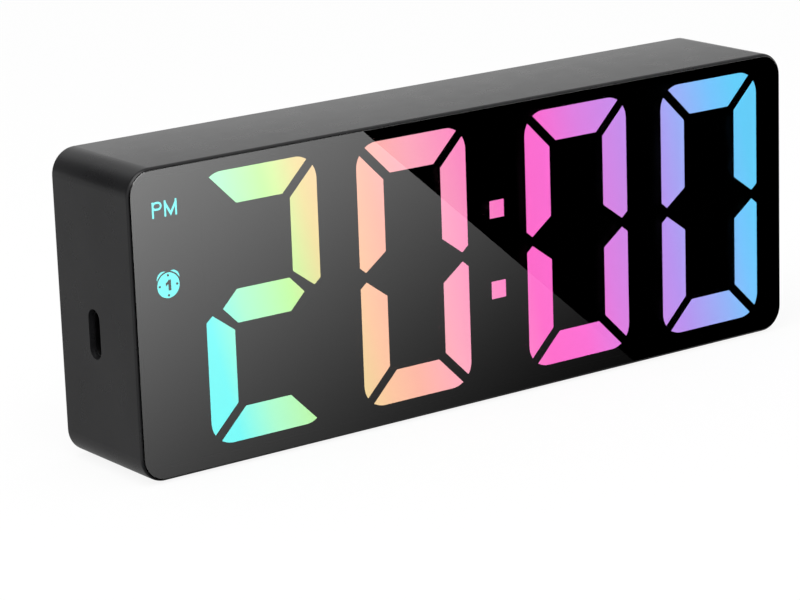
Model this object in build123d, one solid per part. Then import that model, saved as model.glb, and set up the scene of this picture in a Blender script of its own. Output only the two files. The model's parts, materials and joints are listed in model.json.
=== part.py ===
"""A digital LED desk clock: a rounded black sleeve with a smoked front lens, four lit seven-segment digits,
a USB-C inlet in the left side, and buttons and a battery bay in the back.

Millimetres, +Z up. The clock faces -Y and stands on four pads at z = 0, centred on the origin.
"""
from build123d import *
import math
import os

# Case
case_width = 160.0
overall_height = 60.0
case_depth = 27.0
corner_radius = 5.0
wall = 2.0
rim = 0.6  # the lip round the back cover
edge_round = 0.4  # round the back
fit_gap = 0.15  # between the lip and the back cover
front_rim = 0.35  # the thinner lip round the lens
front_round = 0.8  # runs out in that lip
least_radius = 0.2

# Foot pads
foot_diameter = 7.0
foot_thickness = 1.2
foot_proud = 0.4
foot_inset_x = 16.0  # from the end of the case to a pad's centre
foot_inset_y = 6.5
foot_fit = 0.1
foot_chamfer = 0.2

# Front stack, from the lens back to the board
lens_thickness = 2.0
lens_chamfer = 0.1
lens_gap = 0.1  # between the front lip and the lens
tape_thickness = 0.2
mask_gap = 0.1  # between the lens and the mask
mask_thickness = 1.0
film_thickness = 0.3
stack_gap = 0.3  # round the mask, film, reflector and board
insert_gap = 0.05  # round each translucent insert
reflector_plate = 1.0
reflector_wall = 0.9
board_thickness = 1.6

# Digits, placed by their margins to the edge of the mask
digits_left_margin = 14.0
digits_right_margin = 3.5
digits_top_margin = 1.0
digits_bottom_margin = 1.5
digit_gap = 9.2  # between the two digits of a pair
colon_gap = 14.7  # between the pairs
colon_dot = 3.6
colon_spread = 8.2  # from the middle of the digits to a dot's centre
digit_round = 4.8
segment_thickness = 6.6
side_thickness = 6.3  # of the uprights, a little thinner than the rest
segment_gap = 1.85
side_tip_inset = 1.45  # where a side segment comes to its point at mid height
side_tip_height = 0.9
side_outer_shoulder = 2.1
side_inner_shoulder = 4.45
middle_inset = 3.8  # from the digit's side to the point of its middle segment

# Legends beside the digits: PM, and an alarm clock with the number 1
legend_inset = 6.2  # from the left edge of the mask to a legend's centre
pm_drop = 6.05  # from the top edge of the mask
pm_letter_height = 3.1
pm_p_width = 2.2
pm_m_width = 2.8
pm_letter_space = 0.45
pm_stroke = 0.45
pm_bowl_height = 1.7
pm_diagonal = 1.0  # height of the M's slanted strokes
alarm_drop = 20.55
alarm_dial_radius = 2.45
alarm_bell_radius = 1.45
alarm_bell_reach = 1.7
alarm_bell_angle = 38.0  # from straight up
alarm_bell_gap = 0.23
alarm_dot_radius = 0.22
alarm_dot_reach = 1.9
alarm_number_height = 2.0
alarm_number_stroke = 0.55
alarm_flag_reach = 0.85  # of the 1's flag, from the middle of its stem
alarm_flag_drop = 0.55
legend_cell_margin = 0.6

# Parts on the board
led_length = 2.0
led_width = 1.25
led_height = 0.8
led_spread = 3.0  # from a segment's middle to each of its two LEDs
chip_length = 10.0
chip_width = 4.0
chip_height = 1.5
chip_pin_pitch = 1.27
chip_pins_a_side = 7
chip_pin_width = 0.4
chip_pin_reach = 1.0
chip_pin_height = 0.6
crystal_diameter = 2.0
crystal_length = 6.0
capacitor_diameter = 5.0
capacitor_height = 5.4
resistor_length = 1.6
resistor_width = 0.8
resistor_height = 0.5
resistor_count = 6
resistor_pitch = 4.0
resistor_drop = 3.0  # below the row of buttons
buzzer_diameter = 12.0
buzzer_height = 8.5
buzzer_hole = 2.0
buzzer_hole_depth = 1.0
clock_chip_offset = -17.5  # along X from the buzzer
driver_chip_offset = 19.5
crystal_inset = 14.0  # from the board's end beside the USB inlet
capacitor_offset = 10.5
round_seat_gap = 0.02  # under a can that lies on the board

# USB-C inlet
usb_width = 8.94
usb_height = 3.2
usb_length = 7.35
usb_shell = 0.3
usb_recess = 1.0  # from the outside of the case to the mouth
usb_rise = 26.7
usb_slot_gap = 0.4
usb_base_length = 2.4
usb_tongue_side_gap = 1.12
usb_tongue_thickness = 0.7
usb_tongue_recess = 0.8
usb_inner_gap = 0.05

# Battery bay for three AAA cells, which lie along X
cell_diameter = 10.5
cell_length = 44.5
cell_gap = 0.1
cell_side_gap = 0.5
cell_count = 3
bay_inset = 15.0  # from the right end of the case
bay_floor = 1.0
bay_rib_width = 1.0
bay_rib_height = 2.0
bay_rib_end_gap = 3.0  # clear of the contacts at each end
board_gap = 0.4  # between the bay and the board
contact_thickness = 0.3
contact_side_margin = 1.0  # how much narrower than a cell it is, each side
contact_end_margin = 1.25
nub_radius = 2.0
nub_height = 0.5
tail_width = 3.0
tail_reach = 2.8  # past the outside of the bay
tail_gap = 0.2
spring_height = 5.5
spring_squeeze = 2.1  # how far a cell presses it in
spring_base_radius = 3.2
spring_tip_radius = 1.8
spring_wire = 0.5
spring_turns = 4
lead_diameter = 1.0
lead_run = 3.0
lead_bend = 1.5

# Back cover and battery door
cover_thickness = 2.4
door_thickness = 2.0
door_seat_gap = 0.1
door_ledge = 1.2
ledge_backing = 0.4  # wall outside the ledge
door_gap = 0.25
door_corner = 1.0
door_pin_radius = 0.6
door_pin_length = 1.0
door_pin_gap = 0.08
latch_width = 9.0
latch_reach = 2.0
latch_thickness = 1.0
latch_under_gap = 0.2
latch_finger_room = 2.5
grip_count = 3
grip_pitch = 1.8
grip_width = 0.8
grip_depth = 0.4
grip_length = 14.0
grip_inset = 3.0  # from the latch's side of the door
sound_hole = 1.6
sound_ring_radius = 4.0
sound_ring_count = 6

# Buttons and the key board
button_names = ("mode", "set", "up", "down")
button_pitch = 11.5
button_drop = 19.5  # from the top of the clock
button_width = 7.0
button_height = 4.6
button_gap = 0.2
button_proud = 0.8  # above the floor of the trough
button_sink = 0.1  # below the back of the clock
button_crown = 0.3
button_travel = 0.5
button_flange = 0.8
button_flange_thickness = 0.8
button_flange_gap = 0.05
button_stem_diameter = 3.0
button_stem_length = 1.2
trough_margin = 2.2
switch_size = 6.0
switch_height = 3.5
plunger_diameter = 3.4
plunger_proud = 1.5
plunger_seat = 0.6  # its length inside the switch at rest
plunger_gap = 0.1
plunger_bottom_gap = 0.1
key_board_thickness = 1.2
key_board_margin = 4.0
key_board_border = 0.6  # outside its posts
post_diameter = 4.4
post_offset = 6.2
header_length = 12.7
header_width = 2.5
header_edge = 0.5

# Screws
screw_head_diameter = 4.2
screw_head_height = 1.2
screw_diameter = 2.2
screw_length = 8.0
screw_slot_width = 0.5
screw_slot_depth = 0.6
screw_slot_length = 2.6
screw_head_gap = 0.3
screw_fit = 0.05
screw_end_gap = 0.5
screw_head_sink = 0.1
pillar_size = 7.0
small_head_diameter = 3.4
small_head_height = 1.0
small_screw_diameter = 1.8
small_screw_length = 4.0
small_slot_length = 2.0

# Heights
base = foot_proud
top = overall_height
case_height = top - base
middle = base + case_height / 2
left = -case_width / 2
right = case_width / 2

# Depths, worked in from the front and from the back
front = -case_depth / 2
back = case_depth / 2
lens_back = front + lens_thickness
lens_ledge = lens_back + tape_thickness
mask_front = lens_back + mask_gap
mask_back = mask_front + mask_thickness
film_back = mask_back + film_thickness
cover_inside = back - cover_thickness
door_seat = back - door_thickness - door_seat_gap
bay_bottom = door_seat - cell_diameter - cell_gap
board_back = bay_bottom - bay_floor - board_gap
board_front = board_back - board_thickness

# Places along X and Z
inner_width = case_width - 2 * wall
inner_height = case_height - 2 * wall
inner_radius = corner_radius - wall
stack_width = inner_width - 2 * stack_gap
stack_height = inner_height - 2 * stack_gap
stack_radius = inner_radius - stack_gap
framed_width = case_width - 2 * (rim + fit_gap)
framed_height = case_height - 2 * (rim + fit_gap)
framed_radius = corner_radius - rim - fit_gap
lens_width = case_width - 2 * (front_rim + lens_gap)
lens_height = case_height - 2 * (front_rim + lens_gap)
lens_radius = corner_radius - front_rim - lens_gap
stack_left = left + wall + stack_gap
stack_top = top - wall - stack_gap
stack_bottom = base + wall + stack_gap
digits_span = stack_width - digits_left_margin - digits_right_margin
digit_width = (digits_span - 2 * digit_gap - colon_gap) / 4
digit_height = stack_height - digits_top_margin - digits_bottom_margin
digits_middle = stack_top - digits_top_margin - digit_height / 2
first_digit = stack_left + digits_left_margin + digit_width / 2
digit_centres = (
    first_digit,
    first_digit + digit_width + digit_gap,
    first_digit + 2 * digit_width + digit_gap + colon_gap,
    first_digit + 3 * digit_width + 2 * digit_gap + colon_gap,
)
colon_x = (digit_centres[1] + digit_centres[2]) / 2
legend_x = stack_left + legend_inset
pm_z = stack_top - pm_drop
alarm_z = stack_top - alarm_drop
cell_pitch = cell_diameter + cell_side_gap
contact_width = cell_diameter - 2 * contact_side_margin
contact_height = cell_diameter - 2 * contact_end_margin
bay_wall = door_ledge + ledge_backing
bay_height = cell_count * cell_pitch
bay_length = cell_length + spring_height - spring_squeeze + 2 * contact_thickness + nub_height
bay_right = right - bay_inset
bay_left = bay_right - bay_length
cell_y = bay_bottom + cell_diameter / 2
usb_mouth = left + usb_recess
usb_y = board_back + usb_height / 2
button_row_x = (usb_mouth + usb_length + bay_left - bay_wall) / 2
button_row_z = top - button_drop
button_xs = [button_row_x + (i - 1.5) * button_pitch for i in range(4)]
trough_floor = back - button_sink - button_proud
flange_back = cover_inside - button_flange_gap
flange_front = flange_back - button_flange_thickness
plunger_top = flange_front - button_stem_length
switch_top = plunger_top - plunger_proud
key_board_back = switch_top - switch_height
key_board_front = key_board_back - key_board_thickness
key_board_height = 2 * (post_offset + post_diameter / 2 + key_board_border)
key_board_low = button_row_z - key_board_height / 2
buzzer_z = (stack_bottom + key_board_low) / 2  # between the key board and the board's lower edge
lowest_cell_z = middle - (cell_count - 1) / 2 * cell_pitch
chip_row_z = (stack_bottom + lowest_cell_z) / 2  # below the leads
counterbore_depth = screw_head_height + screw_head_sink
screw_inset = wall + pillar_size / 2
case_screw_places = [
    (x, z)
    for x in (left + screw_inset, right - screw_inset)
    for z in (base + screw_inset, top - screw_inset)
]
bay_reach = bay_height / 2 + bay_wall
board_screw_reach = (bay_reach + stack_height / 2) / 2
board_screw_places = [
    (x, z)
    for x in ((digit_centres[0] + digit_centres[1]) / 2, (digit_centres[2] + digit_centres[3]) / 2)
    for z in (middle - board_screw_reach, middle + board_screw_reach)
]
post_places = [
    (button_row_x - button_pitch, button_row_z + post_offset),
    (button_row_x + button_pitch, button_row_z - post_offset),
]


def slab(outline, y_from, y_to):
    """A flat outline, drawn with X across and Z up, made solid between two depths."""
    plane = Plane(origin=(0, y_to, 0), x_dir=(1, 0, 0), z_dir=(0, -1, 0))
    return extrude(plane * outline, y_to - y_from)


def rod(radius, x, z, y_from, y_to):
    """A round rod along Y."""
    return slab(Pos(x, z) * Circle(radius), y_from, y_to)


def block(x_from, x_to, y_from, y_to, z_from, z_to):
    """A box between two corners."""
    return Pos(x_from, y_from, z_from) * Box(
        x_to - x_from, y_to - y_from, z_to - z_from, align=(Align.MIN, Align.MIN, Align.MIN)
    )


def along_x(outline, x_from, x_to):
    """A flat outline, drawn with Y across and Z up, made solid between two places along X."""
    plane = Plane(origin=(x_from, 0, 0), x_dir=(0, 1, 0), z_dir=(1, 0, 0))
    return extrude(plane * outline, x_to - x_from)


def rounded(width, height, radius):
    """A rounded rectangle about the middle of the case."""
    return Pos(0, middle) * RectangleRounded(width, height, max(radius, least_radius))


def polygon(points):
    """A closed flat outline through the points, kept where they are."""
    return make_face(Polyline(*points, close=True))


# Outlines of the display
def digit_segments(centre, inset=0.0):
    """The seven outlines of one digit, in the order top, two right, bottom, two left, middle."""
    a = digit_width / 2
    b = digit_height / 2
    t = segment_thickness
    s = side_thickness
    o = segment_gap / math.sqrt(2)
    level = [(o - a, b), (a - o, b), (a - o - t, b - t), (o - a + t, b - t)]
    upright = [
        (a, b - o),
        (a, side_outer_shoulder),
        (a - side_tip_inset, side_tip_height),
        (a - s, side_inner_shoulder),
        (a - s, b - o - s),
    ]
    tip = a - middle_inset
    flat = tip - t / 2
    bar = [(tip, 0), (flat, t / 2), (-flat, t / 2), (-tip, 0), (-flat, -t / 2), (flat, -t / 2)]
    shapes = [
        level,
        upright,
        [(u, -v) for u, v in upright],
        [(u, -v) for u, v in level],
        [(-u, -v) for u, v in upright],
        [(-u, v) for u, v in upright],
        bar,
    ]
    frame = RectangleRounded(2 * a, 2 * b, digit_round)
    place = Pos(centre, digits_middle)
    outlines = [frame & polygon(points) for points in shapes]
    if inset:
        outlines = [offset(outline, -inset) for outline in outlines]
    return [place * outline for outline in outlines]


def colon_dots(inset=0.0):
    """The two square dots between the hours and the minutes."""
    side = colon_dot - 2 * inset
    return [Pos(colon_x, digits_middle + s * colon_spread) * Rectangle(side, side) for s in (1, -1)]


def pm_letters(inset=0.0):
    """The letters P and M, drawn with one stroke width."""
    h, s = pm_letter_height, pm_stroke - 2 * inset
    w, bowl = pm_p_width, pm_bowl_height
    p_stem = Pos((pm_stroke - w) / 2, 0) * Rectangle(s, h - 2 * inset)
    p_ring = Pos(0, (h - bowl) / 2) * (
        SlotOverall(w - 2 * inset, bowl - 2 * inset)
        - SlotOverall(w - 2 * pm_stroke + 2 * inset, bowl - 2 * pm_stroke + 2 * inset)
    )
    p_left = Pos((pm_stroke - w) / 2, (h - bowl) / 2) * Rectangle(s, bowl - 2 * inset)
    letter_p = p_stem + p_ring + p_left
    half, high = (pm_m_width - pm_stroke) / 2, h / 2 - inset
    m_sides = [Pos(x * half, 0) * Rectangle(s, 2 * high) for x in (-1, 1)]
    thick = pm_diagonal - 2 * inset
    leg = [(half, high), (half, high - thick), (0, -high), (0, thick - high)]
    m_legs = [polygon([(side * x, z) for x, z in leg]) for side in (-1, 1)]
    letter_m = m_sides[0] + m_sides[1] + m_legs[0] + m_legs[1]
    p_x = legend_x - (pm_m_width + pm_letter_space) / 2
    m_x = legend_x + (pm_p_width + pm_letter_space) / 2
    return [Pos(p_x, pm_z) * letter_p, Pos(m_x, pm_z) * letter_m]


def alarm_number():
    """The number 1: a stem with a slanted flag."""
    high, thick = alarm_number_height / 2, alarm_number_stroke
    low = high - alarm_flag_drop
    flag = [(0, high), (-alarm_flag_reach, low), (-alarm_flag_reach, low - thick), (0, high - thick)]
    shift = (alarm_flag_reach - thick / 2) / 2
    return Pos(shift, 0) * (Rectangle(thick, alarm_number_height) + polygon(flag))


def alarm_symbol(inset=0.0):
    """A round alarm clock with two bells, four dots and the number 1 left dark."""
    dial = Circle(alarm_dial_radius - inset)
    for x, z in ((1, 0), (0, 1), (-1, 0), (0, -1)):
        dial -= Pos(alarm_dot_reach * x, alarm_dot_reach * z) * Circle(alarm_dot_radius + inset)
    number = alarm_number()
    shapes = [dial - (offset(number, inset) if inset else number)]
    for side in (-1, 1):
        turn = math.radians(side * alarm_bell_angle)
        place = Pos(alarm_bell_reach * math.sin(turn), alarm_bell_reach * math.cos(turn))
        bell = place * Circle(alarm_bell_radius - inset)
        shapes.append(bell - Circle(alarm_dial_radius + alarm_bell_gap + inset))
    return [Pos(legend_x, alarm_z) * shape for shape in shapes]


def digit_windows():
    """The outlines of all four digits' segments."""
    return [outline for x in digit_centres for outline in digit_segments(x)]


def legend_cells():
    """The light cells behind the two legends."""
    pm_width = pm_p_width + pm_letter_space + pm_m_width
    margin = 2 * legend_cell_margin
    reach = alarm_bell_reach + alarm_bell_radius
    return [
        Pos(legend_x, pm_z) * Rectangle(pm_width + margin, pm_letter_height + margin),
        Pos(legend_x, alarm_z) * Rectangle(2 * reach + margin, 2 * reach + margin),
    ]


# Case
def case_shell():
    """The sleeve, with a lip at each end, corner pillars, the USB slot and pockets for the pads."""
    sleeve = slab(rounded(case_width, case_height, corner_radius), front, back)
    for end, radius in ((front, front_round), (back, edge_round)):
        sleeve = fillet(sleeve.edges().filter_by(lambda e: abs(e.center().Y - end) < 1e-3), radius)
    opening = rounded(inner_width, inner_height, inner_radius)
    sleeve -= slab(opening, front, back)
    for lip, start, end in ((front_rim, front, lens_ledge), (rim, cover_inside, back)):
        framed = rounded(case_width - 2 * lip, case_height - 2 * lip, corner_radius - lip)
        sleeve -= slab(framed, start, end)
    reach = wall + pillar_size
    for x, z in case_screw_places:
        side = 1 if x > 0 else -1
        up = 1 if z > middle else -1
        place = Pos(side * (case_width - reach) / 2, middle + up * (case_height - reach) / 2)
        sleeve += slab(opening & (place * Rectangle(reach, reach)), board_back, cover_inside)
        hole_end = cover_inside - screw_length - screw_end_gap
        sleeve -= rod(screw_diameter / 2 + screw_fit, x, z, hole_end, cover_inside)
    sleeve -= along_x(usb_outline(-usb_slot_gap), left - wall, left + 2 * wall)
    for x, y in foot_places():
        sleeve -= disc(foot_diameter / 2 + foot_fit, x, y)
    return sleeve


def disc(radius, x, y):
    """An upright disc as thick as a pad, from the standing surface up."""
    return Pos(x, y, 0) * Cylinder(radius, foot_thickness, align=(Align.CENTER, Align.CENTER, Align.MIN))


def foot_places():
    """Where the four pads sit."""
    return [
        (x, y)
        for x in (left + foot_inset_x, right - foot_inset_x)
        for y in (front + foot_inset_y, back - foot_inset_y)
    ]


def foot_pad(x, y):
    """One rubber pad, seated in its pocket."""
    pad = disc(foot_diameter / 2, x, y)
    return chamfer(pad.edges().filter_by(GeomType.CIRCLE).sort_by(Axis.Z)[0], foot_chamfer)


# Front stack
def front_lens():
    """The smoked sheet, with a fine chamfer at its front edge."""
    sheet = slab(rounded(lens_width, lens_height, lens_radius), front, lens_back)
    return chamfer(sheet.faces().sort_by(Axis.Y)[0].edges(), lens_chamfer)


def lens_tape():
    """The adhesive frame between the lens and its ledge."""
    frame = rounded(lens_width, lens_height, lens_radius)
    return slab(frame - rounded(inner_width, inner_height, inner_radius), lens_back, lens_ledge)


def display_mask():
    """The black sheet, with a window for each lit shape."""
    sheet = rounded(stack_width, stack_height, stack_radius)
    for window in digit_windows() + colon_dots() + pm_letters() + alarm_symbol():
        sheet -= window
    return slab(sheet, mask_front, mask_back)


def inserts(outlines):
    """Translucent inserts that fill windows of the mask."""
    return Compound([slab(outline, mask_front, mask_back).solid() for outline in outlines])


def colour_film():
    """The printed film that colours the light."""
    return slab(rounded(stack_width, stack_height, stack_radius), mask_back, film_back)


def reflector():
    """A white light box: a front plate and walls round each cell, open at the back."""
    outer = rounded(stack_width, stack_height, stack_radius)
    wall_height = stack_height - 2 * reflector_wall
    skirt = outer - rounded(stack_width - 2 * reflector_wall, wall_height, stack_radius - reflector_wall)
    cells = digit_windows() + colon_dots() + legend_cells()
    walls = skirt
    a, b, t = digit_width / 2, digit_height / 2, segment_thickness
    w = reflector_wall
    pocket_height = b - 1.5 * t - 2 * w
    pocket_middle = (b - t / 2) / 2
    for x in digit_centres:
        walls += Pos(x, digits_middle) * RectangleRounded(2 * (a + w), 2 * (b + w), digit_round + w)
        for side in (1, -1):
            place = Pos(x, digits_middle + side * pocket_middle)
            walls -= place * Rectangle(2 * (a - side_thickness - w), pocket_height)
    colon_width = colon_dot + 2 * w
    walls += Pos(colon_x, digits_middle) * Rectangle(colon_width, 2 * colon_spread + colon_width)
    for cell in legend_cells():
        walls += offset(cell, w, kind=Kind.INTERSECTION)
    for x, z in board_screw_places:
        walls += Pos(x, z) * Circle(small_head_diameter / 2 + w)
    walls = walls & outer
    plate = outer
    for cell in cells:
        walls -= cell
        plate -= cell
    plate_back = film_back + reflector_plate
    body = slab(plate, film_back, plate_back) + slab(walls, plate_back, board_front)
    hole_end = board_back - small_screw_length - screw_end_gap
    for x, z in board_screw_places:
        body -= rod(small_screw_diameter / 2 + screw_fit, x, z, hole_end, board_front)
    return body


# Main board and what it carries
def main_board():
    """The board that closes the light box."""
    sheet = rounded(stack_width, stack_height, stack_radius)
    for x, z in board_screw_places:
        sheet -= Pos(x, z) * Circle(small_screw_diameter / 2 + screw_fit)
    return slab(sheet, board_front, board_back)


def segment_leds():
    """Two LEDs behind each segment, one behind each colon dot and each legend."""
    a, b, t = digit_width / 2, digit_height / 2, segment_thickness
    side_middle = (side_inner_shoulder + b - segment_gap / math.sqrt(2) - side_thickness) / 2
    side_place = a - side_thickness / 2
    places = [(legend_x, pm_z), (legend_x, alarm_z)]
    places += [(colon_x, digits_middle + s * colon_spread) for s in (1, -1)]
    for x in digit_centres:
        for s in (1, -1):
            places += [(x + s * led_spread, digits_middle + v) for v in (b - t / 2, 0, t / 2 - b)]
            for u in (side_place, -side_place):
                places += [(x + u, digits_middle + m * side_middle + s * led_spread) for m in (1, -1)]
    y = (board_front - led_height, board_front)
    half, side = led_length / 2, led_width / 2
    return Compound([block(x - half, x + half, *y, z - side, z + side) for x, z in places])


def chip(x, z):
    """A small-outline chip with a row of pins along each side."""
    half, side = chip_length / 2, chip_width / 2
    body = block(x - half, x + half, board_back, board_back + chip_height, z - side, z + side)
    reach = side + chip_pin_reach
    thin = chip_pin_width / 2
    pin_y = (board_back, board_back + chip_pin_height)
    for i in range(chip_pins_a_side):
        pin_x = x + (i - (chip_pins_a_side - 1) / 2) * chip_pin_pitch
        body += block(pin_x - thin, pin_x + thin, *pin_y, z - reach, z + reach)
    return body


def quartz_crystal():
    """A small can that lies on the board."""
    y = board_back + crystal_diameter / 2 + round_seat_gap
    return Pos(stack_left + crystal_inset, y, usb_rise) * Cylinder(crystal_diameter / 2, crystal_length)


def supply_capacitor():
    """An upright can."""
    x = button_row_x + capacitor_offset
    return rod(capacitor_diameter / 2, x, buzzer_z, board_back, board_back + capacitor_height)


def chip_resistors():
    """A row of small resistors."""
    z = button_row_z - resistor_drop
    row = []
    for i in range(resistor_count):
        x = button_row_x + (i - (resistor_count - 1) / 2) * resistor_pitch
        half, side = resistor_length / 2, resistor_width / 2
        row.append(block(x - half, x + half, board_back, board_back + resistor_height, z - side, z + side))
    return Compound(row)


def buzzer():
    """A round sounder with its hole towards the back."""
    end = board_back + buzzer_height
    can = rod(buzzer_diameter / 2, button_row_x, buzzer_z, board_back, end)
    return can - rod(buzzer_hole / 2, button_row_x, buzzer_z, end - buzzer_hole_depth, end)


# USB-C inlet
def usb_outline(inset):
    """The inlet's outline, made smaller all round."""
    return Pos(usb_y, usb_rise) * SlotOverall(usb_width - 2 * inset, usb_height - 2 * inset, 90)


def usb_metal_shell():
    """The receptacle's metal tube, open at the mouth."""
    tube = along_x(usb_outline(0), usb_mouth, usb_mouth + usb_length)
    return tube - along_x(usb_outline(usb_shell), usb_mouth, usb_mouth + usb_length - usb_shell)


def usb_insulator():
    """The base that fills the tube's end, and the tongue that a plug goes round."""
    end = usb_mouth + usb_length - usb_shell
    base_block = along_x(usb_outline(usb_shell + usb_inner_gap), end - usb_base_length, end)
    tongue = Pos(usb_y, usb_rise) * Rectangle(usb_tongue_thickness, usb_width - 2 * usb_tongue_side_gap)
    return base_block + along_x(tongue, usb_mouth + usb_tongue_recess, end - usb_base_length)


# Back cover
def back_cover():
    """The plate, the battery bay behind its door, the button trough, posts and holes."""
    cover = slab(rounded(framed_width, framed_height, framed_radius), cover_inside, back)
    low, high = middle - bay_height / 2, middle + bay_height / 2
    well_x = (bay_left - bay_wall, bay_right + bay_wall)
    cover += block(*well_x, bay_bottom - bay_floor, cover_inside, low - bay_wall, high + bay_wall)
    cover -= block(bay_left, bay_right, bay_bottom, back, low, high)
    recess_x = (bay_left - door_ledge, bay_right + door_ledge)
    recess_z = (low - door_ledge, high + door_ledge)
    cover -= block(*recess_x, door_seat, back, *recess_z)
    for i in range(1, cell_count):
        z = low + i * cell_pitch
        half = bay_rib_width / 2
        rib_x = (bay_left + bay_rib_end_gap, bay_right - bay_rib_end_gap)
        cover += block(*rib_x, bay_bottom, bay_bottom + bay_rib_height, z - half, z + half)
    for z in recess_z:
        hole = Cylinder(door_pin_radius + door_pin_gap, 2 * door_pin_length)
        cover -= Pos(hinge_x(), hinge_y(), z) * hole
    latch_half = latch_width / 2 + door_gap
    notch_end = recess_x[1] + latch_reach + latch_finger_room
    notch_y = (back - latch_thickness - latch_under_gap, back)
    cover -= block(bay_right, notch_end, *notch_y, middle - latch_half, middle + latch_half)
    tail_half, tail_side = contact_thickness / 2 + tail_gap, tail_width / 2 + tail_gap
    tails = ((well_x[0], bay_left, cell_z(0)), (bay_right, well_x[1], cell_z(cell_count - 1)))
    for x_from, x_to, z in tails:
        cover -= block(x_from, x_to, cell_y - tail_half, cell_y + tail_half, z - tail_side, z + tail_side)
    trough_width = 3 * button_pitch + button_width + 2 * trough_margin
    trough = SlotOverall(trough_width, button_height + 2 * trough_margin)
    cover -= slab(Pos(button_row_x, button_row_z) * trough, trough_floor, back)
    hole = SlotOverall(button_width + 2 * button_gap, button_height + 2 * button_gap)
    for x in button_xs:
        cover -= slab(Pos(x, button_row_z) * hole, cover_inside, trough_floor)
    for x, z in post_places:
        cover += rod(post_diameter / 2, x, z, key_board_back, cover_inside)
        depth = small_screw_length - key_board_thickness + screw_end_gap
        cover -= rod(small_screw_diameter / 2 + screw_fit, x, z, key_board_back, key_board_back + depth)
    cover -= rod(sound_hole / 2, button_row_x, buzzer_z, cover_inside, back)
    for i in range(sound_ring_count):
        turn = 2 * math.pi * i / sound_ring_count
        x = button_row_x + sound_ring_radius * math.cos(turn)
        z = buzzer_z + sound_ring_radius * math.sin(turn)
        cover -= rod(sound_hole / 2, x, z, cover_inside, back)
    for x, z in case_screw_places:
        cover -= rod(screw_diameter / 2 + screw_fit, x, z, cover_inside, back)
        cover -= rod(screw_head_diameter / 2 + screw_head_gap, x, z, back - counterbore_depth, back)
    return cover


def hinge_x():
    """The door's hinge line, at its side nearest the middle of the clock."""
    return bay_left - door_ledge + door_gap + door_thickness / 2


def hinge_y():
    """The hinge line's depth, halfway through the door."""
    return back - door_thickness / 2


def battery_door():
    """The lid, with a rounded hinge edge, two hinge pins and a finger latch."""
    low = middle - bay_height / 2 - door_ledge + door_gap
    high = middle + bay_height / 2 + door_ledge - door_gap
    end = bay_right + door_ledge - door_gap
    lid = block(hinge_x(), end, back - door_thickness, back, low, high)
    lid = fillet(lid.edges().filter_by(Axis.Y).group_by(Axis.X)[-1], door_corner)
    place = Pos(hinge_x(), hinge_y(), middle)
    lid += place * Cylinder(door_thickness / 2, high - low)
    lid += place * Cylinder(door_pin_radius, high - low + 2 * door_pin_length)
    half = latch_width / 2
    lid += block(end, end + latch_reach, back - latch_thickness, back, middle - half, middle + half)
    for i in range(grip_count):
        x = end - grip_inset - i * grip_pitch
        groove = Pos(x, middle) * SlotOverall(grip_length, grip_width, 90)
        lid -= slab(groove, back - grip_depth, back)
    return lid


# Battery contacts
def cell_z(i):
    """The height of a cell's middle, counted from the lowest."""
    return lowest_cell_z + i * cell_pitch


def contact(side, cells, nub_cell=None, tail=False):
    """A contact plate against one end of the bay, with a nub, and a tail out through the wall."""
    wall_x = bay_left if side < 0 else bay_right
    face_x = wall_x - side * contact_thickness
    z_low, z_high = cell_z(cells[0]) - contact_width / 2, cell_z(cells[-1]) + contact_width / 2
    y_low = cell_y - contact_height / 2
    plate = block(min(wall_x, face_x), max(wall_x, face_x), y_low, y_low + contact_height, z_low, z_high)
    if nub_cell is not None:
        tip = face_x - side * nub_height
        nub = Pos(cell_y, cell_z(nub_cell)) * Circle(nub_radius)
        plate += along_x(nub, min(face_x, tip), max(face_x, tip))
    if tail:
        half = contact_thickness / 2
        ends = sorted((wall_x, tail_end(side)))
        z = cell_z(cells[0])
        plate += block(*ends, cell_y - half, cell_y + half, z - tail_width / 2, z + tail_width / 2)
    return plate


def tail_end(side):
    """Where a contact's tail ends, past the outside of the bay."""
    return (bay_left if side < 0 else bay_right) + side * (bay_wall + tail_reach)


def battery_lead(side, cell):
    """A short lead from a contact's tail to the board."""
    start = (tail_end(side), cell_y, cell_z(cell))
    corner = (tail_end(side) + side * lead_run, cell_y, cell_z(cell))
    end = (corner[0], board_back, cell_z(cell))
    path = FilletPolyline(start, corner, end, radius=lead_bend)
    section = Plane(origin=start, z_dir=(side, 0, 0)) * Circle(lead_diameter / 2)
    return sweep(section, path=path)


def coil_point(turn):
    """A point on a spring's centre line and its direction, with the spring along +Z."""
    share = turn / spring_turns
    radius = spring_base_radius + (spring_tip_radius - spring_base_radius) * share
    rise = spring_height - spring_wire
    angle = 2 * math.pi * turn
    point = Vector(radius * math.cos(angle), radius * math.sin(angle), spring_wire / 2 + rise * share)
    inward = (spring_tip_radius - spring_base_radius) / (2 * math.pi * spring_turns)
    climb = rise / (2 * math.pi * spring_turns)
    outward, around = Vector(math.cos(angle), math.sin(angle)), Vector(-math.sin(angle), math.cos(angle))
    along = outward * inward + around * radius + Vector(0, 0, climb)
    return point, along.normalized()


def biarc(p, s, q, e):
    """Two arcs that leave p along s and reach q along e."""
    v, t = q - p, s + e
    bend = 2 * (1 - s.dot(e))
    reach = (math.sqrt(v.dot(t) ** 2 + bend * v.dot(v)) - v.dot(t)) / bend
    joint = (p + q + (s - e) * reach) * 0.5
    first = Edge.make_tangent_arc(p, s, joint)
    return [first, Edge.make_tangent_arc(joint, first.tangent_at(1), q)]


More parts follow.
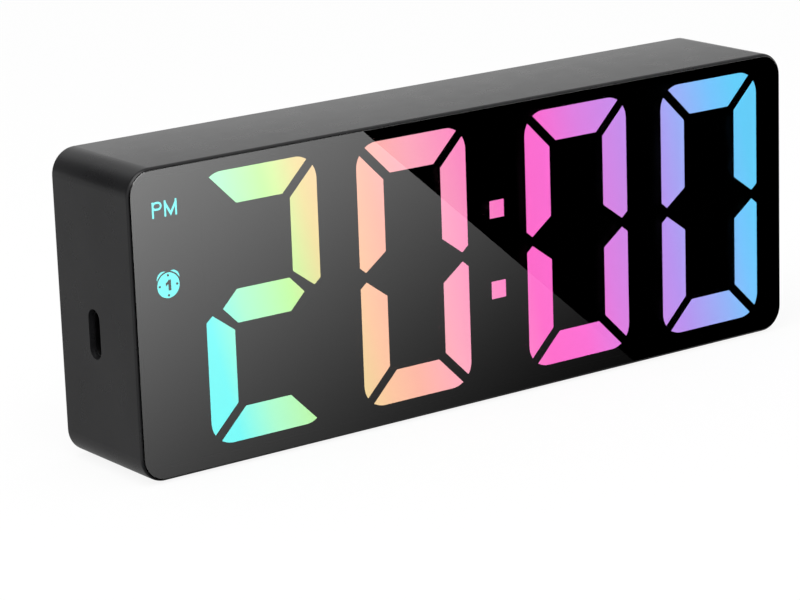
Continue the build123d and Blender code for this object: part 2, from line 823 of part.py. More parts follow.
def battery_spring(side, cell):
    """A conical coil spring on a contact plate, with its tip towards the cell."""
    edges = []
    for i in range(2 * spring_turns):
        edges += biarc(*coil_point(i / 2), *coil_point((i + 1) / 2))
    start, along = coil_point(0)
    coil = sweep(Plane(origin=start, z_dir=along) * Circle(spring_wire / 2), path=Wire(edges))
    face_x = bay_left + contact_thickness if side < 0 else bay_right - contact_thickness
    place = Plane(origin=(face_x, cell_y, cell_z(cell)), x_dir=(0, 0, 1), z_dir=(-side, 0, 0))
    return place.location * coil.solid()


def spring_least_gap():
    """The least gap between a spring's neighbouring turns, measured on points."""
    steps = 24
    points = [coil_point(i / steps)[0] for i in range(spring_turns * steps + 1)]
    gaps = [(p - q).length for i, p in enumerate(points) for q in points[i + steps // 2 :]]
    return min(gaps) - spring_wire


# Buttons and the key board
def button_cap(x):
    """A cap with a soft edge, a flange that keeps it in, and a stem that meets the switch."""
    z = button_row_z
    outline = Pos(x, z) * SlotOverall(button_width, button_height)
    cap = slab(outline, flange_back, trough_floor + button_proud)
    cap = fillet(cap.faces().sort_by(Axis.Y)[-1].edges(), button_crown)
    flange = SlotOverall(button_width + 2 * button_flange, button_height + 2 * button_flange)
    cap += slab(Pos(x, z) * flange, flange_front, flange_back)
    return cap + rod(button_stem_diameter / 2, x, z, plunger_top, flange_front)


def switch_body(x):
    """A tact switch's square body, with the hole its plunger slides in."""
    half = switch_size / 2
    z = button_row_z
    body = block(x - half, x + half, key_board_back, switch_top, z - half, z + half)
    depth = plunger_seat + button_travel + plunger_bottom_gap
    return body - rod(plunger_diameter / 2 + plunger_gap, x, z, switch_top - depth, switch_top)


def plunger(x):
    """The switch's round plunger, under the cap's stem."""
    return rod(plunger_diameter / 2, x, button_row_z, switch_top - plunger_seat, plunger_top)


def key_board():
    """The small board behind the buttons."""
    length = 3 * button_pitch + 2 * (switch_size / 2 + key_board_margin)
    sheet = Pos(button_row_x, button_row_z) * Rectangle(length, key_board_height)
    for x, z in post_places:
        sheet -= Pos(x, z) * Circle(small_screw_diameter / 2 + screw_fit)
    return slab(sheet, key_board_front, key_board_back)


def board_header():
    """The pin header that joins the two boards."""
    x_from = button_row_x - header_length / 2
    low = key_board_low + header_edge
    return block(x_from, x_from + header_length, board_back, key_board_front, low, low + header_width)


# Screws
def screw(x, z, seat, toward, head_diameter, head_height, diameter, length, slot_length):
    """A cross-head screw along Y. Its head stands on the seat and faces the given way."""
    head_end = seat + toward * head_height
    shape = rod(head_diameter / 2, x, z, min(seat, head_end), max(seat, head_end))
    tip = seat - toward * length
    shape += rod(diameter / 2, x, z, min(seat, tip), max(seat, tip))
    cut_y = sorted((head_end - toward * screw_slot_depth, head_end))
    half, side = slot_length / 2, screw_slot_width / 2
    shape -= block(x - half, x + half, *cut_y, z - side, z + side)
    return shape - block(x - side, x + side, *cut_y, z - half, z + half)


def screws(places, seat, toward, *sizes):
    """A group of like screws."""
    return Compound([screw(x, z, seat, toward, *sizes).solid() for x, z in places])


# All pieces
def pieces():
    """Every piece of the clock, by name."""
    small_head = (small_head_diameter, small_head_height)
    small = (*small_head, small_screw_diameter, small_screw_length, small_slot_length)
    large = (screw_head_diameter, screw_head_height, screw_diameter, screw_length, screw_slot_length)
    digit_names = ("hour_tens", "hour_units", "minute_tens", "minute_units")
    made = {
        "case_shell": case_shell(),
        "front_lens": front_lens(),
        "lens_tape": lens_tape(),
        "display_mask": display_mask(),
        "colon_inserts": inserts(colon_dots(insert_gap)),
        "pm_inserts": inserts(pm_letters(insert_gap)),
        "alarm_inserts": inserts(alarm_symbol(insert_gap)),
        "colour_film": colour_film(),
        "reflector": reflector(),
        "main_board": main_board(),
        "segment_leds": segment_leds(),
        "clock_chip": chip(button_row_x + clock_chip_offset, chip_row_z),
        "driver_chip": chip(button_row_x + driver_chip_offset, chip_row_z),
        "quartz_crystal": quartz_crystal(),
        "supply_capacitor": supply_capacitor(),
        "chip_resistors": chip_resistors(),
        "buzzer": buzzer(),
        "usb_shell": usb_metal_shell(),
        "usb_insulator": usb_insulator(),
        "back_cover": back_cover(),
        "battery_door": battery_door(),
        "negative_contact": contact(-1, (0,), tail=True),
        "positive_contact": contact(1, (2,), nub_cell=2, tail=True),
        "left_link_contact": contact(-1, (1, 2), nub_cell=1),
        "right_link_contact": contact(1, (0, 1), nub_cell=0),
        "battery_spring_1": battery_spring(-1, 0),
        "battery_spring_2": battery_spring(1, 1),
        "battery_spring_3": battery_spring(-1, 2),
        "negative_lead": battery_lead(-1, 0),
        "positive_lead": battery_lead(1, 2),
        "key_board": key_board(),
        "board_header": board_header(),
        "case_screws": screws(case_screw_places, back - counterbore_depth, 1, *large),
        "board_screws": screws(board_screw_places, board_back, 1, *small),
        "key_board_screws": screws(post_places, key_board_front, -1, *small),
    }
    for name, x in zip(digit_names, digit_centres):
        made[f"{name}_inserts"] = inserts(digit_segments(x, insert_gap))
    for name, x in zip(button_names, button_xs):
        made[f"{name}_button"] = button_cap(x)
        made[f"{name}_switch"] = switch_body(x)
        made[f"{name}_plunger"] = plunger(x)
    for i, (x, y) in enumerate(foot_places()):
        made[f"foot_pad_{i + 1}"] = foot_pad(x, y)
    return made


os.makedirs("parts", exist_ok=True)
for node, shape in pieces().items():
    export_step(shape, f"parts/{node}.step")
print("least gap between spring turns", round(spring_least_gap(), 2), "mm")
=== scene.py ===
# %% [markdown]
# # A desk clock with lit digits
#
# The clock is a black plastic sleeve, 160 mm long, behind a smoked lens, with four lit digits inside.
# Its solid pieces come from a CAD model at their real size, so they are never moved or reshaped here.
# This lesson gives them their finishes, adds the small marks that a mould or a printer leaves, and lights them:
# a black, glossy thing gets its shape from what it mirrors, so the light is planned as carefully as the finishes.

# %% Load the frame
import json
import math

import bmesh
import bpy
from mathutils import Matrix, Vector

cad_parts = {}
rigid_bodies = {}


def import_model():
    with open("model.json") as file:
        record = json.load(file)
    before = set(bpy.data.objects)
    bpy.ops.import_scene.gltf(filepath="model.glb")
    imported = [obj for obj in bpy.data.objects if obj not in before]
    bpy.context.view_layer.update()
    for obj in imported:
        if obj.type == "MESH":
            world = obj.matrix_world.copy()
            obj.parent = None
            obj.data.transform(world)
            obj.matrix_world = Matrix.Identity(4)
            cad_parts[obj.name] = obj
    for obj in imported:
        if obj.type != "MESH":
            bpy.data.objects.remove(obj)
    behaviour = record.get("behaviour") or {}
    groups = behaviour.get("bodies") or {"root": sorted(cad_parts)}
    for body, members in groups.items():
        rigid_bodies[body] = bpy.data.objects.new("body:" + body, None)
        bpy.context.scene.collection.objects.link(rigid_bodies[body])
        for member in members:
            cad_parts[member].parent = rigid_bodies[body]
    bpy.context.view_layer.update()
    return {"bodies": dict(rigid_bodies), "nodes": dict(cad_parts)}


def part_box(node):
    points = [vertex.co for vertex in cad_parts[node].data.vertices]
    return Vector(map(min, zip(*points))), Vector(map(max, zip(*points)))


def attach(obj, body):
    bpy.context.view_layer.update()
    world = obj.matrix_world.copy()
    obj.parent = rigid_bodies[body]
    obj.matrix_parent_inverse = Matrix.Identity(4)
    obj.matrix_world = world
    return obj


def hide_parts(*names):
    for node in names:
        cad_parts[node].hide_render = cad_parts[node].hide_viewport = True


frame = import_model()
nodes = frame["nodes"]
MM = 0.001

# %% [markdown]
# ## A few words for making finishes
#
# A finish is a Principled shader and a handful of nodes that vary it over the surface. Nodes could be placed one by
# one, at five lines each. Two short helpers keep a finish readable instead: `finish` sets what is the same all
# over, straight on the shader, and `node` adds a node and joins up whatever varies.

# %% Node helpers
def finish(name, roughness=0.5, **sockets):
    """A new material, and its Principled shader with the sockets that are the same all over."""
    material = bpy.data.materials.new(name)
    material.use_nodes = True
    shader = material.node_tree.nodes["Principled BSDF"]
    shader.inputs["Roughness"].default_value = roughness
    for key, value in sockets.items():
        shader.inputs[key.replace("_", " ")].default_value = value
    return material, shader


def node(tree, kind, *values, **settings):
    """A node with its inputs filled in order: a socket is linked, None is left alone, and the rest are set."""
    made = tree.nodes.new("ShaderNode" + kind)
    for key, value in settings.items():
        setattr(made, key, value)
    for socket, value in zip(made.inputs, values):
        if isinstance(value, bpy.types.NodeSocket):
            tree.links.new(value, socket)
        elif value is not None:
            socket.default_value = value
    return made


def place(tree):
    """A point's place in the clock's own frame, whole and as its three numbers."""
    point = node(tree, "TexCoord").outputs["Object"]
    return point, node(tree, "SeparateXYZ", point).outputs


def math_of(tree, operation, *values):
    """One Math node's result."""
    return node(tree, "Math", *values, operation=operation).outputs[0]


def linear(code):
    """A screen colour, as six hex digits, in the linear numbers that shaders take."""
    parts = [int(code[i : i + 2], 16) / 255 for i in (0, 2, 4)]
    return [p / 12.92 if p <= 0.04045 else ((p + 0.055) / 1.055) ** 2.4 for p in parts] + [1.0]


NOISE_LOW, NOISE_HIGH = 0.3, 0.7  # nearly all of a noise's values lie between these


def grain(tree, size, low, high, detail=2.0):
    """Soft spots of a size in metres, as a number that runs from low to high."""
    point, _ = place(tree)
    spots = node(tree, "TexNoise", point, None, 1 / size, detail).outputs["Fac"]
    return node(tree, "MapRange", spots, NOISE_LOW, NOISE_HIGH, low, high).outputs[0]


def grey(tree, number):
    """A number as a grey of that level."""
    return node(tree, "CombineColor", number, number, number).outputs[0]


def ramp(tree, number, stops):
    """A run of colours along a number from 0 to 1."""
    made = node(tree, "ValToRGB", number)
    elements = made.color_ramp.elements
    while len(elements) < len(stops):
        elements.new(0.5)
    for element, (position, colour) in zip(elements, stops):
        element.position, element.color = position, colour
    return made.outputs["Color"]


def bump(tree, shader, height, distance, strength=1.0):
    """Small relief, with its depth in metres."""
    made = node(tree, "Bump", strength, distance)
    tree.links.new(height, made.inputs["Height"])
    tree.links.new(made.outputs["Normal"], shader.inputs["Normal"])


def dress(material, *names):
    """Gives CAD nodes a finish."""
    for name in names:
        mesh = nodes[name].data
        mesh.materials.clear()
        mesh.materials.append(material)


print("helpers for finishes made")

# %% [markdown]
# ## Moulded plastic
#
# The sleeve, back and door are black ABS from a mould with a very fine spark-eroded grain, which turns a mirror
# into satin. A flat black would look like a hole, so the colour drifts a little, the gloss drifts with it, and a
# bump of a few thousandths of a millimetre breaks up the highlights. One function makes every moulded black of the
# clock.

# %% Black plastics
SHADE_SPOTS, GLOSS_SPOTS, GLOSS_DRIFT = 14 * MM, 5 * MM, 0.01
SPARK_GRAIN, SPARK_DEPTH = 0.3 * MM, 0.004 * MM


def moulded(name, dark, light, roughness):
    """Satin moulded plastic between two shades."""
    material, shader = finish(name)
    tree = material.node_tree
    shade = ramp(tree, grain(tree, SHADE_SPOTS, 0, 1), [(0, (*dark, 1)), (1, (*light, 1))])
    tree.links.new(shade, shader.inputs["Base Color"])
    gloss = grain(tree, GLOSS_SPOTS, roughness - GLOSS_DRIFT, roughness + GLOSS_DRIFT)
    tree.links.new(gloss, shader.inputs["Roughness"])
    bump(tree, shader, grain(tree, SPARK_GRAIN, 0, 1), SPARK_DEPTH)
    return material


case_plastic = moulded("case_plastic", (0.011, 0.011, 0.012), (0.017, 0.017, 0.018), 0.28)
button_plastic = moulded("button_plastic", (0.022, 0.022, 0.024), (0.032, 0.032, 0.034), 0.46)
part_plastic = moulded("part_plastic", (0.016, 0.016, 0.016), (0.028, 0.028, 0.028), 0.55)
plunger_plastic = moulded("plunger_plastic", (0.16, 0.16, 0.16), (0.21, 0.21, 0.21), 0.5)
buttons = [body for body in frame["bodies"] if body.endswith("_button")]
covers = ["case_shell", "back_cover", "battery_door"]
black_parts = ["board_header", "buzzer", "usb_insulator"]
dress(case_plastic, *covers)
dress(button_plastic, *buttons)
dress(part_plastic, *black_parts)
for body in buttons:
    dress(part_plastic, body.replace("button", "switch"))
    dress(plunger_plastic, body.replace("button", "plunger"))
print("plastics on", len(covers) + len(black_parts) + 3 * len(buttons), "nodes")

# %% [markdown]
# ## The smoked lens
#
# The front is a sheet of smoked acrylic with a faint mirror film on it. It hides everything behind it that isn't
# lit. A black sheet with a painted display would be quicker, but it would look painted from the side. So this is
# real transmission with a grey tint: light from the digits passes once, and room light has to pass twice and is
# lost. The film is the shader's coat, which mirrors about twice as much as bare acrylic does. It counts only where
# light comes from outside: inside the sheet it would throw faint second pictures of the digits beside them.

# %% Lens, mask and tape
LENS_TINT, TINT_DRIFT, TINT_SPOTS = 0.25, 0.01, 60 * MM
HAZE, HAZE_SPOTS = 0.012, 25 * MM
ACRYLIC_IOR, FILM_IOR = 1.49, 1.9
film_share = ((FILM_IOR - 1) / (FILM_IOR + 1)) ** 2
film = {"Coat_IOR": FILM_IOR, "Coat_Roughness": 0.0}
lens_acrylic, shader = finish("lens_acrylic", IOR=ACRYLIC_IOR, Transmission_Weight=1.0, **film)
tree = lens_acrylic.node_tree
tint = grain(tree, TINT_SPOTS, LENS_TINT - TINT_DRIFT, LENS_TINT + TINT_DRIFT)
tree.links.new(grey(tree, tint), shader.inputs["Base Color"])
tree.links.new(grain(tree, HAZE_SPOTS, 0.0, HAZE), shader.inputs["Roughness"])
outside = math_of(tree, "SUBTRACT", 1.0, node(tree, "NewGeometry").outputs["Backfacing"])
tree.links.new(outside, shader.inputs["Coat Weight"])
mask_black, shader = finish("mask_black", 0.8, Specular_IOR_Level=0.0)
tree = mask_black.node_tree
ink_stops = [(0, (0.002, 0.002, 0.002, 1)), (1, (0.004, 0.004, 0.004, 1))]
print_shade = ramp(tree, grain(tree, TINT_SPOTS, 0, 1), ink_stops)
tree.links.new(print_shade, shader.inputs["Base Color"])
dress(lens_acrylic, "front_lens")
dress(mask_black, "display_mask", "lens_tape")
print("lens lets through", LENS_TINT, "and its film mirrors", round(film_share, 3))

# %% [markdown]
# ## Lit digits
#
# Behind the lens, a printed film gives the light a run of colours from cyan through peach and pink to sky blue,
# tilted a little so that the top of a digit is further along than its foot. A lamp behind each segment could make
# that light, but the light box would need thousands of samples to come out clean. The inserts glow by themselves
# instead: one colour run over the whole display, switched off where a segment isn't part of the number.

# %% The run of colours
GLOW = [
    (0.00, "6FF8F6"),  # cyan
    (0.06, "ABFCCF"),  # mint
    (0.14, "C0F79D"),  # lime
    (0.20, "ECDA96"),  # straw
    (0.26, "FDC6A0"),  # peach
    (0.31, "FDB7A4"),  # salmon
    (0.39, "FEABBF"),  # rose
    (0.55, "FE6DCB"),  # hot pink
    (0.62, "FC70D4"),  # pink
    (0.69, "DF82E3"),  # orchid
    (0.81, "BA95F1"),  # violet
    (0.95, "78C5FE"),  # sky
    (1.00, "67D0FC"),  # sky blue
]
GLOW_TILT = 0.25  # how far along the run a point moves for its height
GLOW_SEEN = 1.085  # in front of the lens
GLOW_STRENGTH = GLOW_SEEN / LENS_TINT / (1 - film_share)  # the lens and its film hold the rest back
digit_names = ["hour_tens", "hour_units", "minute_tens", "minute_units"]
digit_boxes = [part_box(name + "_inserts") for name in digit_names]
glow_left = digit_boxes[0][0][0]
glow_right = digit_boxes[-1][1][0]
digit_middle = (digit_boxes[0][0][2] + digit_boxes[0][1][2]) / 2


def glow_colour(tree, axes):
    """The film's colour at a point."""
    rise = math_of(tree, "MULTIPLY_ADD", axes[2], GLOW_TILT, -GLOW_TILT * digit_middle)
    along = math_of(tree, "ADD", axes[0], rise)
    share = node(tree, "MapRange", along, glow_left, glow_right, 0.0, 1.0).outputs[0]
    return ramp(tree, share, [(position, linear(code)) for position, code in GLOW])


print("colours run over", round((glow_right - glow_left) / MM, 1), "mm")

# %% [markdown]
# Which segments are lit follows from the number. A nought leaves out its middle bar, and a two leaves out its upper
# left and lower right uprights, which are each other's half turn. So two small tests on a point's place inside its
# digit are enough, with no separate object for each segment.

# %% Lit and dark segments
def above(tree, number, limit):
    """1 where a number is above a limit, 0 elsewhere."""
    return math_of(tree, "GREATER_THAN", number, limit)


def product(tree, *numbers):
    """1 where all the numbers are 1."""
    total = numbers[0]
    for number in numbers[1:]:
        total = math_of(tree, "MULTIPLY", total, number)
    return total


BAR_TIP, BAR_FLAT = 0.74, 0.145  # the middle bar's reach, as shares of half the digit's width and height
FOOT_SLOPE, FOOT_START = 0.73, 0.667  # the slanted end of an upright at the digit's waist


def dark_bar(tree, u, v, half_width, half_height):
    """The middle bar: a flat hexagon about the digit's centre."""
    across = math_of(tree, "ABSOLUTE", u)
    up = math_of(tree, "ABSOLUTE", v)
    slanted = math_of(tree, "ADD", across, up)
    inside_tips = above(tree, BAR_TIP * half_width, slanted)
    return product(tree, inside_tips, above(tree, BAR_FLAT * half_height, up))


def dark_uprights(tree, u, v, half_width, half_height):
    """The upper left and lower right uprights, between their mitred ends."""
    side = math_of(tree, "MULTIPLY", u, math_of(tree, "SIGN", v))
    outward = math_of(tree, "MULTIPLY", side, -1.0)
    up = math_of(tree, "ABSOLUTE", v)
    foot = math_of(tree, "MULTIPLY_ADD", outward, FOOT_SLOPE, up)
    mitre = math_of(tree, "SUBTRACT", up, outward)
    below_mitre = above(tree, half_height - half_width, mitre)
    above_foot = above(tree, foot, FOOT_START * half_width)
    return product(tree, above(tree, outward, 0.0), above_foot, below_mitre)


INSERT_SPOTS = 30 * MM
MIX_SHARE, MIX_FIRST, MIX_SECOND, MIX_RESULT = 0, 6, 7, 2  # a Mix node's sockets for colours


def switched(tree, off, light):
    """The light where a segment is on, and black where it is off."""
    mixed = node(tree, "Mix", data_type="RGBA")
    tree.links.new(off, mixed.inputs[MIX_SHARE])
    tree.links.new(light, mixed.inputs[MIX_FIRST])
    mixed.inputs[MIX_SECOND].default_value = (0, 0, 0, 1)
    return mixed.outputs[MIX_RESULT]


def lit_insert(name, box=None, dark=None):
    """A translucent insert that glows, dark where its segment is off."""
    material, shader = finish(name, 0.45, Emission_Strength=GLOW_STRENGTH, Specular_IOR_Level=0.0)
    tree = material.node_tree
    _, axes = place(tree)
    light = glow_colour(tree, axes)
    if dark:
        (x0, _, z0), (x1, _, z1) = box
        u = math_of(tree, "SUBTRACT", axes[0], (x0 + x1) / 2)
        v = math_of(tree, "SUBTRACT", axes[2], (z0 + z1) / 2)
        off = dark(tree, u, v, (x1 - x0) / 2, (z1 - z0) / 2)
        light = switched(tree, off, light)
    tree.links.new(light, shader.inputs["Emission Color"])
    smoke_stops = [(0, (0.006, 0.006, 0.006, 1)), (1, (0.01, 0.01, 0.01, 1))]
    smoke = ramp(tree, grain(tree, INSERT_SPOTS, 0, 1), smoke_stops)
    tree.links.new(smoke, shader.inputs["Base Color"])
    return material


for name, box in zip(digit_names, digit_boxes):
    dark = dark_uprights if name == "hour_tens" else dark_bar
    dress(lit_insert(name + "_light", box, dark), name + "_inserts")
dress(lit_insert("colon_light"), "colon_inserts")
dress(lit_insert("legend_light"), "pm_inserts", "alarm_inserts")
print("digits read 20:00")

# %% [markdown]
# ## The pieces inside
#
# Nobody sees these until the clock is opened, but the battery bay shows when its door swings, and the inlet shows
# its metal. White parts yellow a little, boards are green with a weave under the lacquer, and plated metal is
# brushed.

# %% White, green and clear
SKIN_GRAIN, SKIN_DEPTH, FINE_DETAIL = 0.4 * MM, 0.005 * MM, 4.0


def tinted(name, first, second, size, roughness):
    """A surface that drifts between two colours."""
    material, shader = finish(name, roughness)
    tree = material.node_tree
    shade = ramp(tree, grain(tree, size, 0, 1, FINE_DETAIL), [(0, (*first, 1)), (1, (*second, 1))])
    tree.links.new(shade, shader.inputs["Base Color"])
    bump(tree, shader, grain(tree, SKIN_GRAIN, 0, 1), SKIN_DEPTH)
    return material


dress(tinted("reflector_white", (0.78, 0.78, 0.76), (0.84, 0.84, 0.83), 12 * MM, 0.35), "reflector")
dress(tinted("film_print", (0.6, 0.6, 0.6), (0.66, 0.66, 0.66), 30 * MM, 0.25), "colour_film")
dress(tinted("led_frost", (0.82, 0.76, 0.45), (0.88, 0.84, 0.6), 1 * MM, 0.4), "segment_leds")
dress(tinted("board_green", (0.008, 0.09, 0.035), (0.015, 0.15, 0.06), 1.5 * MM, 0.3), "main_board", "key_board")
pads = [name for name in nodes if name.startswith("foot_pad")]
dress(tinted("pad_rubber", (0.018, 0.018, 0.018), (0.03, 0.03, 0.03), 0.8 * MM, 0.85), *pads)
dress(tinted("lead_black", (0.015, 0.015, 0.015), (0.025, 0.025, 0.025), 1 * MM, 0.5), "negative_lead")
dress(tinted("lead_red", (0.5, 0.02, 0.015), (0.58, 0.03, 0.02), 1 * MM, 0.5), "positive_lead")
print("finishes for the display stack, boards, leads and", len(pads), "pads")

# %% [markdown]
# Contacts, cans and screws are plated. A mirror would look wet, so fine spots in the roughness dull it, as the
# brushing before the plating bath does. The inlet's shell and the screws are dark nickel and black zinc.

# %% Metals
PLATE_SPOTS, BRUSH_GRAIN, BRUSH_DRIFT = 2.5 * MM, 0.3 * MM, 0.06


def plated(name, first, second, roughness):
    """Brushed, plated metal."""
    material, shader = finish(name, Metallic=1.0)
    tree = material.node_tree
    shade = ramp(tree, grain(tree, PLATE_SPOTS, 0, 1), [(0, (*first, 1)), (1, (*second, 1))])
    tree.links.new(shade, shader.inputs["Base Color"])
    gloss = grain(tree, BRUSH_GRAIN, roughness - BRUSH_DRIFT, roughness + BRUSH_DRIFT)
    tree.links.new(gloss, shader.inputs["Roughness"])
    return material


contacts = ["negative_contact", "positive_contact", "left_link_contact", "right_link_contact"]
screws = ["case_screws", "board_screws", "key_board_screws"]
dress(plated("contact_nickel", (0.62, 0.6, 0.55), (0.72, 0.7, 0.66), 0.28), *contacts)
dress(plated("can_metal", (0.6, 0.6, 0.6), (0.7, 0.7, 0.71), 0.3), "quartz_crystal", "supply_capacitor")
dress(plated("usb_nickel", (0.08, 0.08, 0.085), (0.12, 0.12, 0.125), 0.35), "usb_shell")
dress(plated("screw_zinc", (0.09, 0.09, 0.095), (0.14, 0.14, 0.145), 0.36), *screws)
print("metals on", len(contacts) + len(screws) + 3, "nodes")

# %% [markdown]
# A chip is black with tinned pins, and a resistor is black with tinned ends. Each is one solid, so one shader does
# both: it asks how far a point lies from the middle of its part, and turns from plastic to metal past that.

# %% Tinned ends
MOULDING_TO_TIN = [
    (0.0, (0.014, 0.014, 0.014, 1)),
    (0.1, (0.03, 0.03, 0.03, 1)),
    (0.9, (0.6, 0.6, 0.58, 1)),
    (1.0, (0.66, 0.66, 0.64, 1)),
]
MOULDING_ROUGH, TIN_ROUGH = 0.6, 0.3


def tinned(name, axis, centre, half, pitch=None):
    """Black moulding that turns to tinned metal past half its length from the middle of each part in a row."""
    material, shader = finish(name)
    tree = material.node_tree
    _, axes = place(tree)
    away = math_of(tree, "SUBTRACT", axes[axis], centre)
    if pitch:
        away = math_of(tree, "WRAP", away, pitch / 2, -pitch / 2)
    metal = math_of(tree, "GREATER_THAN", math_of(tree, "ABSOLUTE", away), half)
    drift = grain(tree, 1 * MM, 0.0, 0.04)
    shade = ramp(tree, math_of(tree, "ADD", metal, drift), MOULDING_TO_TIN)
    tree.links.new(shade, shader.inputs["Base Color"])
    tree.links.new(metal, shader.inputs["Metallic"])
    gloss = node(tree, "MapRange", metal, 0.0, 1.0, MOULDING_ROUGH, TIN_ROUGH).outputs[0]
    tree.links.new(gloss, shader.inputs["Roughness"])
    return material


def middle_of(name, axis):
    """The middle of a node's box along one axis."""
    low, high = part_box(name)
    return (low[axis] + high[axis]) / 2


CHIP_HALF = 2.02 * MM
RESISTOR_PITCH, RESISTOR_LENGTH, RESISTOR_HALF = 4.0 * MM, 1.6 * MM, 0.5 * MM
dress(tinned("chip_black", 2, middle_of("clock_chip", 2), CHIP_HALF), "clock_chip", "driver_chip")
first_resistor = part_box("chip_resistors")[0][0] + RESISTOR_LENGTH / 2
dress(tinned("resistor_black", 0, first_resistor, RESISTOR_HALF, RESISTOR_PITCH), "chip_resistors")
print("tinned ends on the two chips and the resistors")

# %% [markdown]
# ## Small pieces
#
# The CAD model stops at what carries or fits something. A printer, a mould and a plating bath add more: the symbols
# on the buttons, the signs in the battery bay, the gold strips in the inlet. They could be painted on by a shader,
# but a raised edge catches light as paint can't. So each starts as a flat outline on the face that carries it, is
# raised a little, and gets a softened edge.

# %% Piece helpers
def piece(name, shape, material, body, smooth=False):
    """A finished shape as an object that rides on a body."""
    bmesh.ops.recalc_face_normals(shape, faces=shape.faces)
    for face in shape.faces:
        face.smooth = smooth
    mesh = bpy.data.meshes.new(name)
    shape.to_mesh(mesh)
    shape.free()
    mesh.materials.append(material)
    made = bpy.data.objects.new(name, mesh)
    bpy.context.collection.objects.link(made)
    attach(made, body)
    return made


def only(kind, geometry):
    """The vertices, edges or faces among some geometry."""
    return [part for part in geometry if isinstance(part, kind)]


SQUARE = 45  # degrees that turn a circle of four sides until its sides are level


def flat(shape, sides, width, height, at, turn=0.0):
    """A flat outline that looks along +Y: a circle with few or many sides, as wide and high as asked."""
    upright = Matrix.Translation(at) @ Matrix.Rotation(math.radians(-90), 4, "X")
    size = Matrix.Diagonal((width, height, 1, 1)) @ Matrix.Rotation(math.radians(turn), 4, "Z")
    radius = 0.5 / math.cos(math.pi / sides) if sides == 4 else 0.5
    made = bmesh.ops.create_circle(shape, cap_ends=True, segments=sides, radius=radius, matrix=upright @ size)
    return list(made["verts"][0].link_faces)


def border(shape, faces, line):
    """Only a line round a flat outline."""
    inset = bmesh.ops.inset_region(shape, faces=faces, thickness=line, use_boundary=True, use_even_offset=True)
    bmesh.ops.delete(shape, geom=faces, context="FACES_ONLY")
    return inset["faces"]


def lift(shape, faces, height, soften):
    """Raises flat faces along Y and softens their edge."""
    lifted = bmesh.ops.extrude_face_region(shape, geom=faces, use_keep_orig=True)["geom"]
    bmesh.ops.translate(shape, vec=(0, height, 0), verts=only(bmesh.types.BMVert, lifted))
    tops = set(only(bmesh.types.BMFace, lifted))
    rim = [edge for edge in only(bmesh.types.BMEdge, lifted) if len(tops.intersection(edge.link_faces)) == 1]
    bmesh.ops.bevel(shape, geom=rim, offset=soften, segments=2, profile=0.5, affect="EDGES", material=-1)


print("helpers for raised marks made")

# %% [markdown]
# ### Button symbols
#
# The buttons set the mode, the time, and a step up or down. Words would name a language, so they carry signs that
# anyone reads: three lines, a ring with a dot, and two triangles. They are printed, so they are pale and very thin.

# %% Button symbols
PRINT_HEIGHT, PRINT_SOFTEN = 0.05 * MM, 0.012 * MM
SYMBOL_SIZE, SYMBOL_LINE, SYMBOL_STEP = 2.5 * MM, 0.4 * MM, 0.85 * MM
DOT_SIZE, ROUND_SIDES = 0.8 * MM, 40
print_white = tinted("print_white", (0.55, 0.55, 0.54), (0.68, 0.68, 0.67), 0.5 * MM, 0.5)


def cap_centre(name):
    """The middle of a button's outer face."""
    low, high = (Vector(corner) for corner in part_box(name))
    return Vector(((low.x + high.x) / 2, high.y, (low.z + high.z) / 2))


def three_lines(shape, at):
    """Lines one above the other, for the mode."""
    faces = []
    for i in (-1, 0, 1):
        faces += flat(shape, 4, SYMBOL_SIZE, SYMBOL_LINE, at + Vector((0, 0, i * SYMBOL_STEP)), SQUARE)
    return faces


def ring_and_dot(shape, at):
    """A ring with a dot in it, for setting the time."""
    ring = border(shape, flat(shape, ROUND_SIDES, SYMBOL_SIZE, SYMBOL_SIZE, at), SYMBOL_LINE)
    return ring + flat(shape, ROUND_SIDES, DOT_SIZE, DOT_SIZE, at)


def triangle_up(shape, at):
    """A step up."""
    return flat(shape, 3, SYMBOL_SIZE, SYMBOL_SIZE, at, 180)


def triangle_down(shape, at):
    """A step down."""
    return flat(shape, 3, SYMBOL_SIZE, SYMBOL_SIZE, at)


symbols = {"mode": three_lines, "set": ring_and_dot, "up": triangle_up, "down": triangle_down}
for name, draw in symbols.items():
    shape = bmesh.new()
    lift(shape, draw(shape, cap_centre(name + "_button")), PRINT_HEIGHT, PRINT_SOFTEN)
    piece(name + "_symbol", shape, print_white, name + "_button")
print(len(symbols), "button symbols")

# %% [markdown]
# ### Signs in the battery bay
#
# The bay tells which way round each cell goes: an outline of the cell, with a plus at the nub's end and a minus at
# the spring's end. The mould forms them with the floor, so they are black like it and stand higher than ink. The
# floor's depth isn't in the box of the cover, so a ray cast at it finds it.

# %% Bay signs
SIGN_HEIGHT, SIGN_SOFTEN, SIGN_LINE = 0.4 * MM, 0.25 * MM, 1.0 * MM
SIGN_SIZE, SIGN_INSET = 4.2 * MM, 6.5 * MM
OUTLINE_LENGTH, OUTLINE_HEIGHT, OUTLINE_LINE = 37.0 * MM, 8.0 * MM, 0.8 * MM
springs = ["battery_spring_1", "battery_spring_2", "battery_spring_3"]
bay_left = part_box("left_link_contact")[0][0]
bay_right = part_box("right_link_contact")[1][0]
bay_middle = (bay_left + bay_right) / 2
cell_heights = [middle_of("negative_contact", 2), middle_of("back_cover", 2), middle_of("positive_contact", 2)]
BEHIND = 20 * MM
ray_start = Vector((bay_middle, BEHIND, cell_heights[1]))
_, spot, _, _ = nodes["back_cover"].ray_cast(ray_start, Vector((0, -1, 0)))
bay_floor = spot.y


